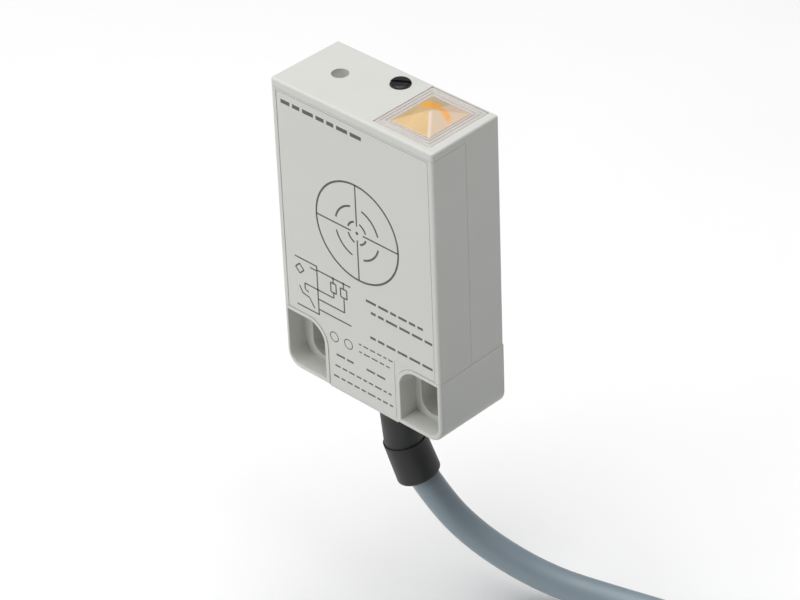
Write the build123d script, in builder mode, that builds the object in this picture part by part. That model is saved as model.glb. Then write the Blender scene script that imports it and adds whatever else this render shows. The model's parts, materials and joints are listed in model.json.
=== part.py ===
from build123d import *
import math
import os

os.makedirs("parts", exist_ok=True)

# Flat-pack capacitive proximity sensor.  Millimetres, +X right, -Y front (sensing face), +Z up.
# The origin is on the back mounting face, midway between the middles of the two fixing slots.

# --- housing ---
body_width = 35.0
body_depth = 15.0
body_height = 55.0
slot_mid_height = 5.9       # slot middles above the underside
side_draft = 0.2            # each side leans in by this much at the back, above the foot
foot_height = 12.0
cap_thickness = 1.4
cover_depth = 7.4           # how far the front cover's sides reach back
front_wall = 1.4
back_wall = 1.3
side_wall = 1.3
bottom_wall = 1.6
seam_gap = 0.05             # between the two shells along their joint
corner_round = 3.0          # lower corners, seen from the front
front_round = 0.6
edge_round = 0.4
label_inset = 1.1           # rim left standing at each side of the label field
label_top_rim = 0.35
label_recess = 0.12

# --- fixing pockets and slots ---
slot_pitch = 24.6
slot_width = 5.0
slot_travel = 3.0
pocket_depth = 3.55
pocket_inner_x = 8.4
pocket_corner = 3.6
pocket_side_wall = 0.75
pocket_ledge = 1.0
pocket_rim = 0.7
pocket_lip = 0.12           # rounding of each pocket's front edge

# --- indicator ---
window_margin = 1.7         # window to the side of the housing
window_y = -7.15
window_width = 12.0
window_x = body_width / 2 - window_margin - window_width / 2
window_length = 13.3
window_clearance = 0.05
window_frame = 2.0
lens_height = 1.2
lens_tip = 0.4
box_height = 6.6
box_wall = 0.8
led_width = 3.2
led_length = 2.8
led_height = 1.9
led_chamfer = 0.15
led_cup_wall = 0.4
led_cup_depth = 0.3
led_board_width = 8.0
led_board_length = 7.0
led_board_thickness = 0.8

# --- adjuster ---
spindle_spacing = 4.25      # spindle middle to the window
spindle_x = window_x - window_width / 2 - spindle_spacing
spindle_y = -3.2
spindle_diameter = 3.4
spindle_proud = 0.5
spindle_length = 6.6
spindle_chamfer = 0.2
spindle_slot_width = 0.6
spindle_slot_depth = 0.45
spindle_slot_angle = 32.0
running_gap = 0.05
seal_section = 0.7
boss_wall = 1.0
boss_length = 5.2
screw_diameter = 1.6
screw_head_diameter = 2.6
screw_head_length = 1.6
screw_pitch = 0.8
turns_each_way = 5.5
blade_width = 0.5
blade_length = 0.8
blade_inset = 0.2
seal_gap = 0.02

# --- trimmer ---
trimmer_width = 6.4
trimmer_wall = 0.7
trimmer_end_room = 1.4      # left past the carriage at each end of its travel
carriage_length = 3.0
carriage_wall = 0.7
element_thickness = 0.5
wiper_width = 1.6
wiper_sheet = 0.3
pin_proud = 0.6

# --- blind hole on top ---
blind_x = -9.85
blind_y = -7.05
blind_diameter = 2.9
blind_depth = 1.7
blind_floor = 0.9

# --- electronics ---
board_thickness = 1.0
board_back_y = -6.4
board_margin = 0.5          # board edge to the shell
electrode_board_thickness = 0.8
copper = 0.1
electrode_diameter = 18.0
electrode_x = 0.3
electrode_rise = 0.87       # share of the free height of its board
guard_gap = 1.6
guard_width = 1.6
shield_depth = 3.0
shield_sheet = 0.3
shield_inset = 1.2
shield_corner = 1.5
shield_leg = 3.0
pin_diameter = 0.6
link_inset = 1.5
link_pitch = 2.5
fit_gap = 0.05
ic_length = 8.6
ic_width = 3.9
ic_height = 1.5
ic_leads = 7
ic_lead_width = 0.4
ic_lead_height = 0.3
ic_lead_length = 1.0
ic_column = -6.0
ic_shares = [0.695, 0.40]   # oscillator and comparator, as shares of the board height

# --- cable ---
cable_diameter = 5.2
cable_clearance = 0.05
cable_y = -7.5
wire_diameter = 1.2
wire_spread = 1.5
neck_diameter = 6.5
bush_diameter = 6.6
bush_end_diameter = 7.0
bush_flange_diameter = 9.0
bush_flange_length = 1.2
sleeve_top_diameter = 7.4
sleeve_end_diameter = 7.7
sleeve_round = 0.5
bush_reach = 1.1            # where the bush ends and the sleeve starts, along the bend and down
bush_length = 10.9
bush_tilt = 13.0
sleeve_reach = 3.4          # the same for the sleeve's end
sleeve_length = 17.95
sleeve_tilt = 20.0
clamp_length = 2.6
clamp_wall = 0.8
tie_sheet = 1.2
tie_slack = 0.2
tie_width = 4.6
tip_diameter = 0.8
tip_length = 5.0
wire_bend = 1.0
wire_rise = 1.8             # straight out of the sheath before the cores part
wire_tuck = 0.2             # how far below the foot line the cores reach the board
pad_length = 6.0
pad_pitch = 3.0
bend_heading = 30.0         # the cable bends towards this direction, from +X towards +Y

bottom_z = -slot_mid_height
top_z = bottom_z + body_height
foot_z = bottom_z + foot_height
seam_z = top_z - cap_thickness
front_y = -body_depth
inner_front_y = front_y + front_wall
inner_back_y = -back_wall
half_width = body_width / 2
half_back = half_width - side_draft
inner_half = half_back - side_wall
pocket_outer_x = half_width - pocket_side_wall
pocket_top_z = foot_z - pocket_rim
pocket_ledge_z = bottom_z + pocket_ledge
pocket_back_y = front_y + pocket_depth
pocket_outer_round = corner_round - pocket_side_wall
rim_inner_x = pocket_inner_x - pocket_rim
slot_length = slot_width + slot_travel
bay_half = pocket_inner_x - side_wall


def rounded_foot(top):
    """Front outline from the underside up to top, with the two round lower corners."""
    with BuildSketch() as outline:
        with BuildLine():
            Polyline(
                (-half_width, bottom_z + corner_round),
                (-half_width, top),
                (half_width, top),
                (half_width, bottom_z + corner_round),
            )
            RadiusArc(
                (half_width, bottom_z + corner_round),
                (half_width - corner_round, bottom_z),
                corner_round,
            )
            Line((half_width - corner_round, bottom_z), (corner_round - half_width, bottom_z))
            RadiusArc(
                (corner_round - half_width, bottom_z),
                (-half_width, bottom_z + corner_round),
                corner_round,
            )
        make_face()
    return outline.sketch


def pocket_outline(side):
    """Front outline of one fixing pocket: side is +1 or -1."""
    inner = side * pocket_inner_x
    outer = side * pocket_outer_x
    arch = side * (pocket_inner_x + pocket_corner)
    toe = side * (pocket_outer_x - pocket_outer_round)
    with BuildSketch() as outline:
        with BuildLine():
            Line((inner, pocket_ledge_z), (inner, pocket_top_z - pocket_corner))
            RadiusArc((inner, pocket_top_z - pocket_corner), (arch, pocket_top_z), side * pocket_corner)
            Line((arch, pocket_top_z), (outer, pocket_top_z))
            Line((outer, pocket_top_z), (outer, pocket_ledge_z + pocket_outer_round))
            RadiusArc(
                (outer, pocket_ledge_z + pocket_outer_round),
                (toe, pocket_ledge_z),
                side * pocket_outer_round,
            )
            Line((toe, pocket_ledge_z), (inner, pocket_ledge_z))
        make_face()
    return outline.sketch


def plan_outline():
    """Plan of the housing above the foot: the sides lean in towards the back."""
    with BuildSketch() as outline:
        with BuildLine():
            Polyline(
                (-half_width, front_y),
                (half_width, front_y),
                (half_back, 0),
                (-half_back, 0),
                close=True,
            )
        make_face()
        fillet(outline.vertices().group_by(Axis.Y)[0], front_round)
        fillet(outline.vertices().group_by(Axis.Y)[-1], edge_round)
    return outline.sketch


def cover_limit(gap):
    """Front outline of the front cover, drawn in by gap along the joint with the housing."""
    corner = pocket_corner + pocket_rim + gap
    tongue = rim_inner_x - gap
    low = foot_z + gap
    with BuildSketch() as outline:
        with BuildLine():
            Polyline(
                (-half_width, low),
                (-half_width, seam_z - gap),
                (half_width, seam_z - gap),
                (half_width, low),
            )
            Line((half_width, low), (tongue + corner, low))
            RadiusArc((tongue + corner, low), (tongue, low - corner), -corner)
            Polyline(
                (tongue, low - corner),
                (tongue, bottom_z),
                (-tongue, bottom_z),
                (-tongue, low - corner),
            )
            RadiusArc((-tongue, low - corner), (-tongue - corner, low), -corner)
            Line((-tongue - corner, low), (-half_width, low))
        make_face()
    return outline.sketch


def save(piece, name):
    """Label one finished piece and write its STEP file."""
    piece.part.label = name
    export_step(piece.part, f"parts/{name}.step")


def save_box(name, size, place):
    """Make and save one plain block."""
    with BuildPart() as block:
        with Locations(place):
            Box(*size)
    save(block, name)


def span(low, high):
    """Length and middle of the stretch from low to high."""
    return high - low, (low + high) / 2


# --- cable route: straight runs joined by arcs ---
floor_z = -48.4             # the surface that the cable comes to lie on
cable_radius = cable_diameter / 2
lying_z = floor_z + cable_radius
route_points = [
    (0.0, -7.5, 2.1),
    (0.0, -7.5, -8.4),
    (0.7, -7.1, -17.1),
    (3.8, -5.3, -25.2),
    (9.8, -1.85, -34.8),
    (20.8, 4.5, -43.0),
    (32.5, 10.9, lying_z),
    (44.0, 14.4, lying_z),
    (58.2, 14.4, lying_z),
]


def route_radii(points):
    """Largest tangent arc at each corner: 0.45 of the shorter run over the tangent of half the turn."""
    radii = []
    for before, here, after in zip(points, points[1:], points[2:]):
        run_in = Vector(*here) - Vector(*before)
        run_out = Vector(*after) - Vector(*here)
        turn = math.radians(run_in.get_angle(run_out))
        shorter = min(run_in.length, run_out.length)
        radii.append(0.45 * shorter / math.tan(turn / 2))
    return radii


def cable_tube(points, diameter):
    """Solid tube along a route, as separate algebra objects."""
    radii = route_radii(points)
    path = FilletPolyline(*points, radius=radii)
    start = Plane(origin=points[0], z_dir=Vector(*points[1]) - Vector(*points[0]))
    tube = sweep(start * Circle(diameter / 2), path=path)
    arcs = ", ".join(f"{radius:.0f}" for radius in radii)
    print(f"route of {len(points)} points: length {path.length:.1f}, arc radii {arcs}")
    print(f"   volume {tube.volume:.1f}, section times length {math.pi * diameter ** 2 / 4 * path.length:.1f}")
    return tube


cable_solid = cable_tube(route_points, cable_diameter)
cable_bore = cable_tube(route_points[:6], cable_diameter + 2 * cable_clearance)
with BuildPart() as cable:
    add(cable_solid)
save(cable, "cable")

# --- shells ---
window_plane = Plane.XY.offset(top_z)
with BuildPart() as rear_housing:
    with BuildSketch(Plane.XZ):
        add(rounded_foot(foot_z))
    extrude(amount=body_depth)
    below_top = rear_housing.edges().filter_by_position(Axis.Z, bottom_z, foot_z - 1)
    fillet(below_top.group_by(Axis.Y)[0], front_round)
    below_top = rear_housing.edges().filter_by_position(Axis.Z, bottom_z, foot_z - 1)
    fillet(below_top.group_by(Axis.Y)[-1], edge_round)
    with BuildSketch(Plane.XY.offset(foot_z)):
        add(plan_outline())
    extrude(amount=body_height - foot_height)
    fillet(rear_housing.faces().sort_by(Axis.Z)[-1].edges(), edge_round)
    # the front cover's room, and the hollow behind it
    with BuildSketch(Plane.XZ.offset(body_depth)):
        add(cover_limit(0))
    extrude(amount=-front_wall, mode=Mode.SUBTRACT)
    with BuildSketch(Plane.XZ.offset(body_depth)):
        with Locations((0, (foot_z + seam_z) / 2)):
            Rectangle(body_width, seam_z - foot_z)
    extrude(amount=-cover_depth, mode=Mode.SUBTRACT)
    with BuildSketch(Plane.XZ.offset(back_wall)):
        with Locations((0, (foot_z + seam_z) / 2)):
            Rectangle(2 * inner_half, seam_z - foot_z)
    extrude(amount=body_depth, mode=Mode.SUBTRACT)
    with BuildSketch(Plane.XZ.offset(back_wall)):
        with Locations((0, (bottom_z + bottom_wall + foot_z) / 2)):
            Rectangle(2 * bay_half, foot_z - bottom_z - bottom_wall)
    extrude(amount=body_depth - back_wall - front_wall, mode=Mode.SUBTRACT)
    # fixing pockets and slots
    for side in (1, -1):
        with BuildSketch(Plane.XZ.offset(body_depth)):
            add(pocket_outline(side))
        extrude(amount=-pocket_depth, mode=Mode.SUBTRACT)
        lip = rear_housing.edges(Select.LAST).group_by(Axis.Y)[0]
        fillet(lip, pocket_lip)
    with BuildSketch(Plane.XZ):
        with GridLocations(slot_pitch, 0, 2, 1):
            SlotOverall(slot_length, slot_width, rotation=90)
    extrude(amount=body_depth, mode=Mode.SUBTRACT)
    # bosses under the cap, then the openings in it
    with BuildSketch(Plane.XY.offset(seam_z)):
        with Locations((spindle_x, spindle_y)):
            Circle(spindle_diameter / 2 + running_gap + boss_wall)
    extrude(amount=cap_thickness - boss_length)
    with BuildSketch(Plane.XY.offset(seam_z)):
        with Locations((blind_x, blind_y)):
            Circle(blind_diameter / 2 + boss_wall)
    extrude(amount=cap_thickness - blind_depth - blind_floor)
    with BuildSketch(window_plane):
        with Locations((window_x, window_y)):
            Rectangle(window_width, window_length)
    extrude(amount=-cap_thickness, mode=Mode.SUBTRACT)
    with BuildSketch(window_plane):
        with Locations((spindle_x, spindle_y)):
            Circle(spindle_diameter / 2 + running_gap)
    extrude(amount=-boss_length, mode=Mode.SUBTRACT)
    with BuildSketch(window_plane):
        with Locations((blind_x, blind_y)):
            Circle(blind_diameter / 2)
    extrude(amount=-blind_depth, mode=Mode.SUBTRACT)
    with BuildSketch(Plane.XY.offset(bottom_z)):
        with Locations((0, cable_y)):
            Circle(neck_diameter / 2 + fit_gap)
    extrude(amount=bottom_wall, mode=Mode.SUBTRACT)
save(rear_housing, "rear_housing")

with BuildPart() as front_cover:
    with BuildSketch(Plane.XZ.offset(body_depth)):
        add(cover_limit(seam_gap))
    extrude(amount=-front_wall)
    with BuildSketch(Plane.XY.offset(foot_z + seam_gap)):
        add(plan_outline())
    extrude(amount=seam_z - foot_z - 2 * seam_gap)
    with BuildSketch(Plane.XZ):
        with Locations((0, (foot_z + seam_z) / 2)):
            Rectangle(body_width + 1, seam_z - foot_z + 1)
    extrude(amount=body_depth - cover_depth + seam_gap, mode=Mode.SUBTRACT)
    with BuildSketch(Plane.XZ.offset(body_depth - front_wall)):
        with Locations((0, (foot_z + seam_z) / 2)):
            Rectangle(2 * inner_half, seam_z - foot_z + 1)
    extrude(amount=-body_depth, mode=Mode.SUBTRACT)
    with BuildSketch(Plane.XY.offset(bottom_z)):
        add(plan_outline())
    extrude(amount=body_height, mode=Mode.INTERSECT)
    label_height = seam_z - label_top_rim - bottom_z
    with BuildSketch(Plane.XZ.offset(body_depth)):
        with Locations((0, bottom_z + label_height / 2)):
            Rectangle(body_width - 2 * label_inset, label_height)
    extrude(amount=-label_recess, mode=Mode.SUBTRACT)
save(front_cover, "front_cover")

# --- indicator: window, light box, its board and the lamp ---
with BuildPart() as led_window:
    with BuildSketch(window_plane):
        with Locations((window_x, window_y)):
            Rectangle(window_width - 2 * window_clearance, window_length - 2 * window_clearance)
    extrude(amount=-cap_thickness)
    with BuildSketch(window_plane):
        with Locations((window_x, window_y)):
            Rectangle(window_width - 2 * window_frame, window_length - 2 * window_frame)
    with BuildSketch(Plane.XY.offset(top_z + lens_height)):
        with Locations((window_x, window_y)):
            Rectangle(lens_tip, lens_tip)
    loft()
save(led_window, "led_window")

box_top = seam_z - fit_gap
box_floor = box_top - box_height
box_width = window_width - 2 * fit_gap
box_length, box_y = span(inner_front_y + fit_gap, inner_back_y - fit_gap)
with BuildPart() as light_box:
    with BuildSketch(Plane.XY.offset(box_floor)):
        with Locations((window_x, box_y)):
            Rectangle(box_width, box_length)
    extrude(amount=box_height)
    with BuildSketch(Plane.XY.offset(box_floor + box_wall)):
        with Locations((window_x, box_y)):
            Rectangle(box_width - 2 * box_wall, box_length - 2 * box_wall)
    extrude(amount=box_height, mode=Mode.SUBTRACT)
    with BuildSketch(Plane.XY.offset(box_floor)):
        with Locations((window_x, box_y)):
            Rectangle(led_width + 2 * fit_gap, led_length + 2 * fit_gap)
    extrude(amount=box_wall, mode=Mode.SUBTRACT)
save(light_box, "light_box")

save_box(
    "led_board",
    (led_board_width, led_board_length, led_board_thickness),
    (window_x, box_y, box_floor - led_board_thickness / 2),
)

with BuildPart() as output_led:
    with BuildSketch(Plane.XY.offset(box_floor)):
        with Locations((window_x, box_y)):
            Rectangle(led_width, led_length)
    extrude(amount=led_height)
    chamfer(output_led.faces().sort_by(Axis.Z)[-1].edges(), led_chamfer)
    with BuildSketch(Plane.XY.offset(box_floor + led_height)):
        with Locations((window_x, box_y)):
            Circle(led_width / 2 - led_cup_wall)
    extrude(amount=-led_cup_depth, mode=Mode.SUBTRACT)
save(output_led, "output_led")

# --- adjuster: spindle, its seal and the trimmer's lead screw ---
spindle_top = top_z + spindle_proud
spindle_foot = spindle_top - spindle_length
spindle_plane = Plane.XY.offset(spindle_foot)
boss_foot = top_z - boss_length
groove_radius = spindle_diameter / 2 - seal_section
seal_z = (boss_foot + top_z) / 2
with BuildPart() as adjuster_spindle:
    with BuildSketch(spindle_plane):
        with Locations((spindle_x, spindle_y)):
            Circle(spindle_diameter / 2)
    extrude(amount=spindle_length)
    chamfer(adjuster_spindle.edges().filter_by(GeomType.CIRCLE).sort_by(Axis.Z)[-1], spindle_chamfer)
    with BuildSketch(Plane.XY.offset(seal_z - seal_section / 2)):
        with Locations((spindle_x, spindle_y)):
            Circle(spindle_diameter / 2)
            Circle(groove_radius, mode=Mode.SUBTRACT)
    extrude(amount=seal_section, mode=Mode.SUBTRACT)
    with BuildSketch(Plane.XY.offset(spindle_top)):
        with Locations((spindle_x, spindle_y)):
            Rectangle(spindle_diameter + 1, spindle_slot_width, rotation=spindle_slot_angle)
    extrude(amount=-spindle_slot_depth, mode=Mode.SUBTRACT)
    with BuildSketch(spindle_plane):
        with Locations((spindle_x, spindle_y)):
            Rectangle(screw_head_diameter - 2 * blade_inset, blade_width, rotation=spindle_slot_angle)
    extrude(amount=-blade_length)
save(adjuster_spindle, "adjuster_spindle")

seal_radius = seal_section / 2 - seal_gap
with BuildPart() as spindle_seal:
    with BuildSketch(Plane.XZ.offset(-spindle_y)):
        with Locations((spindle_x + groove_radius + seal_gap + seal_radius, seal_z)):
            Circle(seal_radius)
    revolve(axis=Axis((spindle_x, spindle_y, seal_z), (0, 0, 1)))
save(spindle_seal, "spindle_seal")

travel = 2 * turns_each_way * screw_pitch
trimmer_length = travel + carriage_length + 2 * (trimmer_end_room + trimmer_wall)
head_top = spindle_foot - running_gap
head_foot = head_top - screw_head_length
trimmer_top = head_foot - running_gap
trimmer_foot = trimmer_top - trimmer_length
trimmer_mid = (trimmer_top + trimmer_foot) / 2
trimmer_back_y = inner_back_y - fit_gap
trimmer_front_y = board_back_y + fit_gap
with BuildPart() as trimmer_lead_screw:
    with BuildSketch(Plane.XY.offset(trimmer_foot + trimmer_wall / 2)):
        with Locations((spindle_x, spindle_y)):
            Circle(screw_diameter / 2)
    extrude(amount=head_top - trimmer_foot - trimmer_wall / 2)
    with BuildSketch(Plane.XY.offset(head_foot)):
        with Locations((spindle_x, spindle_y)):
            Circle(screw_head_diameter / 2)
    extrude(amount=screw_head_length)
    with BuildSketch(Plane.XY.offset(head_top)):
        with Locations((spindle_x, spindle_y)):
            Rectangle(screw_head_diameter + 1, blade_width + 2 * running_gap, rotation=spindle_slot_angle)
    extrude(amount=-blade_length, mode=Mode.SUBTRACT)
save(trimmer_lead_screw, "trimmer_lead_screw")

# --- trimmer: body, resistive element, carriage, wiper and pins ---
trimmer_depth, trimmer_y = span(trimmer_front_y, trimmer_back_y)
cavity_width = trimmer_width - 2 * trimmer_wall
cavity_back_y = trimmer_back_y - trimmer_wall
cavity_depth, cavity_y = span(trimmer_front_y, cavity_back_y)
with BuildPart() as trimmer_body:
    with Locations((spindle_x, trimmer_y, trimmer_mid)):
        Box(trimmer_width, trimmer_depth, trimmer_length)
    with Locations((spindle_x, cavity_y, trimmer_mid)):
        Box(cavity_width, cavity_depth, trimmer_length - 2 * trimmer_wall, mode=Mode.SUBTRACT)
    with BuildSketch(Plane.XY.offset(trimmer_top)):
        with Locations((spindle_x, spindle_y)):
            Circle(screw_diameter / 2 + running_gap)
    extrude(amount=trimmer_wall / 2 - trimmer_length, mode=Mode.SUBTRACT)
save(trimmer_body, "trimmer_body")

save_box(
    "trimmer_element",
    (cavity_width, element_thickness, trimmer_length - 2 * trimmer_wall),
    (spindle_x, trimmer_front_y + element_thickness / 2, trimmer_mid),
)

carriage_front_y = spindle_y - screw_diameter / 2 - carriage_wall
carriage_depth, carriage_y = span(carriage_front_y, cavity_back_y - running_gap)
with BuildPart() as trimmer_carriage:
    with Locations((spindle_x, carriage_y, trimmer_mid)):
        Box(cavity_width - 2 * running_gap, carriage_depth, carriage_length)
    with BuildSketch(Plane.XY.offset(trimmer_mid - carriage_length / 2)):
        with Locations((spindle_x, spindle_y)):
            Circle(screw_diameter / 2 + running_gap)
    extrude(amount=carriage_length, mode=Mode.SUBTRACT)
save(trimmer_carriage, "trimmer_carriage")

wiper_front_y = trimmer_front_y + element_thickness + running_gap
wiper_depth, wiper_y = span(wiper_front_y, carriage_front_y)
save_box("trimmer_wiper", (wiper_width, wiper_depth, wiper_sheet), (spindle_x, wiper_y, trimmer_mid))

pin_x = spindle_x + (trimmer_width - trimmer_wall) / 2
pin_rows = [trimmer_mid - trimmer_length / 3, trimmer_mid, trimmer_mid + trimmer_length / 3]
board_front_y = board_back_y - board_thickness
with BuildPart() as trimmer_pins:
    with BuildSketch(Plane.XZ.offset(-trimmer_front_y)):
        with Locations(*[(pin_x, row) for row in pin_rows]):
            Circle(pin_diameter / 2)
    extrude(amount=board_thickness + fit_gap + pin_proud)
save(trimmer_pins, "trimmer_pins")

# --- boards, electrodes and shield ---
board_foot = foot_z + board_margin
board_top = box_floor - led_board_thickness
board_half = inner_half - board_margin
link_z = board_foot + link_inset
link_columns = [board_half - link_inset - link_pitch * k for k in range(3)]
with BuildPart() as circuit_board:
    with BuildSketch(Plane.XZ.offset(-board_back_y)):
        with Locations((0, (board_foot + board_top) / 2)):
            Rectangle(2 * board_half, board_top - board_foot)
        with Locations(*[(pin_x, row) for row in pin_rows]):
            Circle(pin_diameter / 2 + running_gap, mode=Mode.SUBTRACT)
        with Locations(*[(column, link_z) for column in link_columns]):
            Circle(pin_diameter / 2 + running_gap, mode=Mode.SUBTRACT)
    extrude(amount=board_thickness)
save(circuit_board, "circuit_board")

electrode_front_y = inner_front_y + fit_gap
guard_inner = electrode_diameter / 2 + guard_gap
guard_outer = guard_inner + guard_width
electrode_low = board_foot + guard_outer
electrode_high = box_floor - fit_gap - guard_outer
electrode_z = electrode_low + electrode_rise * (electrode_high - electrode_low)
face_board_y = electrode_front_y + copper
with BuildPart() as electrode_board:
    with BuildSketch(Plane.XZ.offset(-face_board_y)):
        with Locations((0, (board_foot + box_floor - fit_gap) / 2)):
            Rectangle(2 * board_half, box_floor - fit_gap - board_foot)
    extrude(amount=-electrode_board_thickness)
save(electrode_board, "electrode_board")

with BuildPart() as sensing_electrode:
    with BuildSketch(Plane.XZ.offset(-face_board_y)):
        with Locations((electrode_x, electrode_z)):
            Circle(electrode_diameter / 2)
    extrude(amount=copper)
save(sensing_electrode, "sensing_electrode")

with BuildPart() as guard_ring:
    with BuildSketch(Plane.XZ.offset(-face_board_y)):
        with Locations((electrode_x, electrode_z)):
            Circle(guard_outer)
            Circle(guard_inner, mode=Mode.SUBTRACT)
    extrude(amount=copper)
save(guard_ring, "guard_ring")

link_back_y = face_board_y + electrode_board_thickness
with BuildPart() as board_links:
    with BuildSketch(Plane.XZ.offset(-link_back_y)):
        with Locations(*[(column, link_z) for column in link_columns]):
            Circle(pin_diameter / 2)
    extrude(amount=-(board_back_y - link_back_y + pin_proud))
save(board_links, "board_links")

shield_half = board_half - shield_inset
shield_foot = link_z + shield_inset
shield_top = board_top - shield_inset
shield_height, shield_z = span(shield_foot, shield_top)
shield_front_y = link_back_y + fit_gap
shield_back_y = shield_front_y + shield_depth
with BuildPart() as electrode_shield:
    with BuildSketch(Plane.XZ.offset(-shield_front_y)):
        with Locations((0, shield_z)):
            RectangleRounded(2 * shield_half, shield_height, shield_corner)
    extrude(amount=-shield_depth)
    with BuildSketch(Plane.XZ.offset(-shield_front_y)):
        with Locations((0, shield_z)):
            RectangleRounded(
                2 * (shield_half - shield_sheet),
                shield_height - 2 * shield_sheet,
                shield_corner - shield_sheet,
            )
    extrude(amount=shield_sheet - shield_depth, mode=Mode.SUBTRACT)
    leg_depth, leg_y = span(shield_back_y, board_front_y)
    leg_x = shield_half - shield_sheet / 2
    for side in (1, -1):
        with Locations((side * leg_x, leg_y, shield_z)):
            Box(shield_sheet, leg_depth, shield_leg)
save(electrode_shield, "electrode_shield")


# --- components on the main board ---
def board_front(depth):
    """Y of the middle of a component of this height on the board's front."""
    return board_front_y - depth / 2


def board_rear(depth):
    """Y of the middle of a component of this height on the board's back."""
    return board_back_y + depth / 2


def board_row(share):
    """Height of a row of components, at this share of the board's height."""
    return board_foot + share * (board_top - board_foot)


ic_rows = [board_row(share) for share in ic_shares]
for ic_name, ic_row in zip(["oscillator_ic", "comparator_ic"], ic_rows):
    save_box(ic_name, (ic_length, ic_height, ic_width), (ic_column, board_front(ic_height), ic_row))
lead_pitch = ic_length / (ic_leads + 0.5)
lead_offset = (ic_width + ic_lead_length) / 2
with BuildPart() as ic_legs:
    for ic_row in ic_rows:
        for edge in (1, -1):
            with Locations((ic_column, board_front(ic_lead_height), ic_row + edge * lead_offset)):
                with GridLocations(lead_pitch, 1, ic_leads, 1):
                    Box(ic_lead_width, ic_lead_height, ic_lead_length)
save(ic_legs, "ic_legs")

chip_first = 4.5            # first column of the small chips, and their pitch
chip_pitch = 2.8
chip_columns = [chip_first + chip_pitch * k for k in range(4)]
# each group: size of one, the side of the board it is on, and its places
groups = {
    "output_transistors": ((6.5, 1.7, 3.5), board_rear, [(-10.5, board_row(0.695)), (10.5, board_row(0.695))]),
    "storage_capacitors": ((4.3, 2.8, 7.3), board_rear, [(-10.5, board_row(0.37)), (10.5, board_row(0.37))]),
    "surge_diodes": ((4.6, 2.3, 3.6), board_rear, [(-11.5, board_row(0.90)), (11.5, board_row(0.90))]),
    "chip_resistors": ((1.6, 0.6, 3.2), board_front, [(x, board_row(0.785)) for x in chip_columns]),
    "chip_capacitors": ((1.6, 1.0, 3.2), board_front, [(x, board_row(0.545)) for x in chip_columns]),
}
for group_name, (size, side_of, spots) in groups.items():
    with BuildPart() as group:
        with Locations(*[(x, side_of(size[1]), z) for x, z in spots]):
            Box(*size)
    save(group, group_name)

# --- cable entry: bush, sleeve and clamp ---
heading = math.radians(bend_heading)


def bend_plane(reach, height, tilt):
    """Plane across the cable's bend: reach along the heading, height, and tilt from straight down."""
    lean = math.radians(tilt)
    middle = (reach * math.cos(heading), cable_y + reach * math.sin(heading), height)
    along = (math.sin(lean) * math.cos(heading), math.sin(lean) * math.sin(heading), -math.cos(lean))
    return Plane(origin=middle, z_dir=along)


entry_plane = Plane(origin=(0, cable_y, bottom_z), z_dir=(0, 0, -1))
bush_end = bend_plane(bush_reach, bottom_z - bush_length, bush_tilt)
sleeve_end = bend_plane(sleeve_reach, bottom_z - sleeve_length, sleeve_tilt)
with BuildPart() as strain_relief_bush:
    with BuildSketch(entry_plane):
        Circle(bush_diameter / 2)
    with BuildSketch(bush_end):
        Circle(bush_end_diameter / 2)
    loft()
    with BuildSketch(entry_plane):
        Circle(neck_diameter / 2)
    extrude(amount=-(bottom_wall + bush_flange_length))
    with BuildSketch(entry_plane.offset(-bottom_wall)):
        Circle(bush_flange_diameter / 2)
    extrude(amount=-bush_flange_length)
    add(cable_bore, mode=Mode.SUBTRACT)
save(strain_relief_bush, "strain_relief_bush")

with BuildPart() as strain_relief_sleeve:
    with BuildSketch(bush_end):
        Circle(sleeve_top_diameter / 2)
    with BuildSketch(sleeve_end):
        Circle(sleeve_end_diameter / 2)
    loft()
    fillet(strain_relief_sleeve.faces().sort_by(Axis.Z)[0].edges(), sleeve_round)
    add(cable_bore, mode=Mode.SUBTRACT)
save(strain_relief_sleeve, "strain_relief_sleeve")

clamp_foot = bottom_z + bottom_wall + bush_flange_length + fit_gap
with BuildPart() as cable_clamp:
    with BuildSketch(Plane.XY.offset(clamp_foot)):
        with Locations((0, cable_y)):
            Circle(cable_radius + cable_clearance + clamp_wall)
            Circle(cable_radius + cable_clearance, mode=Mode.SUBTRACT)
    extrude(amount=clamp_length)
save(cable_clamp, "cable_clamp")


def wire(points, diameter, bend):
    """One round wire along points, with the same bend at each corner."""
    path = FilletPolyline(*points, radius=bend)
    start = Plane(origin=points[0], z_dir=Vector(*points[1]) - Vector(*points[0]))
    return sweep(start * Circle(diameter / 2), path=path)


colours = ["brown", "white", "black", "blue"]
half_spread = wire_spread / 2
corners = [
    (-half_spread, -half_spread),
    (-half_spread, half_spread),
    (half_spread, half_spread),
    (half_spread, -half_spread),
]
pads = [pad_pitch * (k - 1.5) for k in range(4)]
inner_end = route_points[0]
pad_y = board_back_y + wire_diameter / 2 + fit_gap
for colour, (off_x, off_y), pad_x in zip(colours, corners, pads):
    start = (off_x, cable_y + off_y, inner_end[2])
    rise = (off_x, cable_y + off_y, inner_end[2] + wire_rise)
    landing = (pad_x, pad_y, foot_z - wire_tuck)
    pad_end = (pad_x, pad_y, foot_z + pad_length)
    lead = wire([start, rise, landing, pad_end], wire_diameter, wire_bend)
    with BuildPart() as core:
        add(lead)
    save(core, f"wire_{colour}")

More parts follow.
